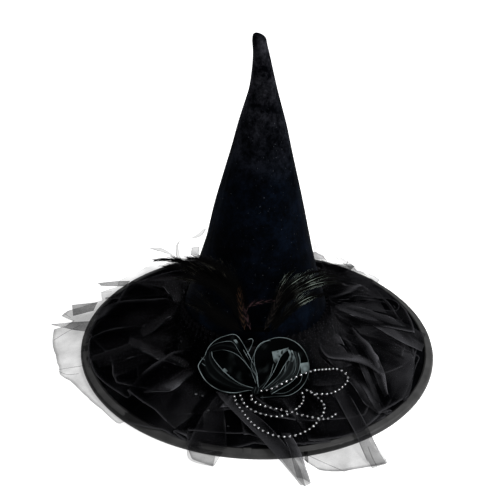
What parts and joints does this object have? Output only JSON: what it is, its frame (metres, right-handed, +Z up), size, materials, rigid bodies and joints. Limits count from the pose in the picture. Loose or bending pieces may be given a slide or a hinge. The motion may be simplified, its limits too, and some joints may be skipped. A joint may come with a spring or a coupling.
{
  "type": "witch hat",
  "caption": "Tall pointed black velvet hat on a wide wired brim, with a gathered tulle ruffle, satin flower, feather plumes and bead strands at the front.",
  "frame": {"origin": "centre of the head opening, at the lower edge of the sweatband", "axes": "+Z up the crown to the tip, -Y to the front where the flower is, +X to the right as seen from the front"},
  "size_m": [0.504, 0.552, 0.407],
  "materials": {
    "velvet": "black velvet pile with a cool sheen",
    "interlining": "stiff black foam-backed felt",
    "lining": "plain black polyester lining",
    "wire": "bare hoop wire inside the binding",
    "binding": "black satin bias binding",
    "tulle": "soft black net, see-through",
    "thread": "black sewing thread",
    "satin": "glossy black satin",
    "felt": "black felt",
    "beads": "gunmetal pearl coating",
    "sequin": "silver glitter",
    "feather_black": "black coque feather, green-brown gloss",
    "feather_barred": "dark brown barred feather"
  },
  "bodies": {
    "hat": {"bead_thread_a": "thread", "bead_thread_b": "thread", "bead_thread_c": "thread", "bead_thread_d": "thread", "beads_a": "beads", "beads_b": "beads", "beads_c": "beads", "beads_d": "beads", "binding_join": "binding", "brim_binding": "binding", "brim_interlining": "interlining", "brim_top_velvet": "velvet", "brim_underside": "lining", "brim_wire": "wire", "crown_back_seam": "velvet", "crown_interlining": "interlining", "crown_lining": "lining", "crown_velvet": "velvet", "feather_binding": "thread", "feather_centre_1": "feather_barred", "feather_centre_2": "feather_barred", "feather_centre_3": "feather_barred", "flower_backing": "felt", "flower_curl": "satin", "flower_knot": "satin", "heading_stitches": "thread", "petal_left_inner": "satin", "petal_left_middle": "satin", "petal_left_outer": "satin", "petal_right_inner": "satin", "petal_right_middle": "satin", "petal_right_outer": "satin", "ruffle_heading": "tulle", "sequins": "sequin", "sweatband": "lining", "tulle_middle_layer": "tulle", "tulle_top_layer": "tulle", "tulle_under_layer": "tulle"},
    "plume_left": {"feather_left_1": "feather_black", "feather_left_2": "feather_black", "feather_left_3": "feather_black", "feather_left_4": "feather_black", "feather_left_5": "feather_black", "feather_left_6": "feather_black"},
    "plume_right": {"feather_right_1": "feather_black", "feather_right_2": "feather_black", "feather_right_3": "feather_black", "feather_right_4": "feather_black", "feather_right_5": "feather_black"}
  },
  "joints": [
    {"name": "plume_left_sway", "type": "hinge", "parent": "hat", "child": "plume_left", "pos_m": [-0.018, -0.0923, 0.0575], "axis": [0, 0.9629, -0.27], "range_deg": [-6, 12], "stiffness_Nm_per_rad": 0.06},
    {"name": "plume_right_sway", "type": "hinge", "parent": "hat", "child": "plume_right", "pos_m": [0.018, -0.0923, 0.0575], "axis": [0, -0.9629, 0.27], "range_deg": [-6, 12], "stiffness_Nm_per_rad": 0.06}
  ]
}
